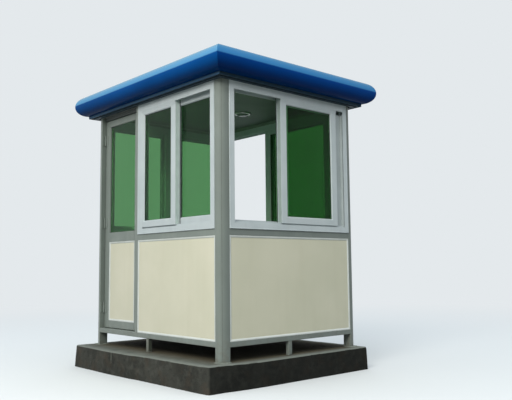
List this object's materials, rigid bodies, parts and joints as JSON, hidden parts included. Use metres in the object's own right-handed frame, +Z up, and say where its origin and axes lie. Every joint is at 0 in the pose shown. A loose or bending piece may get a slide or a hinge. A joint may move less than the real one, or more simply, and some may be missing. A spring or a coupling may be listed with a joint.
{
  "type": "security guard booth",
  "caption": "Glazed guard booth on a low plinth, with sliding hatch windows, a hinged side door and a rounded flat-topped roof.",
  "frame": {"origin": "on the ground under the middle of the cabin's plan, in the plane of the plinth's underside", "axes": "+Z up; -Y out of the front wall with the open hatch window; -X out of the wall with the door"},
  "size_m": [1.863, 2.191, 2.58],
  "materials": {
    "concrete": "weathered cast concrete, rubbed smooth on top",
    "grey_frame": "satin grey powder coat on steel",
    "white_frame": "white powder coat on aluminium extrusion",
    "white_bead": "white extruded edge bead",
    "cream_panel": "cream coated sheet on an insulated panel",
    "green_glass": "green tinted float glass",
    "handle_metal": "brushed stainless steel",
    "hinge_steel": "steel butt hinges painted with the frame",
    "blue_eave": "gloss blue enamel on bent sheet",
    "roof_sheet": "blue coated roof sheet",
    "dark_trim": "dark grey folded sheet",
    "ceiling_board": "pale grey ceiling board",
    "floor_vinyl": "speckled grey sheet vinyl",
    "lamp_diffuser": "opal diffuser"
  },
  "bodies": {
    "booth": {"back_eave": "blue_eave", "back_inner_sash": "white_frame", "back_outer_sash": "white_frame", "back_wall_panel": "cream_panel", "back_window_frame": "white_frame", "back_window_glass": "green_glass", "belt_rails": "grey_frame", "ceiling": "ceiling_board", "ceiling_lamp": "lamp_diffuser", "corner_post_back_left": "grey_frame", "corner_post_back_right": "grey_frame", "corner_post_front_left": "grey_frame", "corner_post_front_right": "grey_frame", "cornice": "dark_trim", "door_head": "grey_frame", "door_mullion": "grey_frame", "floor_deck": "floor_vinyl", "floor_feet": "grey_frame", "floor_joists": "grey_frame", "floor_rails": "grey_frame", "front_eave": "blue_eave", "front_inner_sash": "white_frame", "front_outer_sash": "white_frame", "front_wall_panel": "cream_panel", "front_window_frame": "white_frame", "front_window_glass": "green_glass", "head_rails": "grey_frame", "left_eave": "blue_eave", "left_inner_sash": "white_frame", "left_outer_sash": "white_frame", "left_wall_panel": "cream_panel", "left_window_frame": "white_frame", "left_window_glass": "green_glass", "panel_beads": "white_bead", "plinth": "concrete", "post_hinge_leaves": "hinge_steel", "right_eave": "blue_eave", "right_inner_sash": "white_frame", "right_outer_sash": "white_frame", "right_wall_panel": "cream_panel", "right_window_frame": "white_frame", "right_window_glass": "green_glass", "roof_deck": "roof_sheet", "soffit": "dark_trim"},
    "door": {"door_frame": "grey_frame", "door_panel": "cream_panel", "door_beads": "white_bead", "door_glass": "green_glass", "door_handles": "handle_metal", "door_hinge_leaves": "hinge_steel"}
  },
  "joints": [
    {"name": "door_hinge", "type": "hinge", "parent": "booth", "child": "door", "pos_m": [-0.717, 0.8465, 1.3], "axis": [0, 0, -1], "range_deg": [0, 90]}
  ]
}
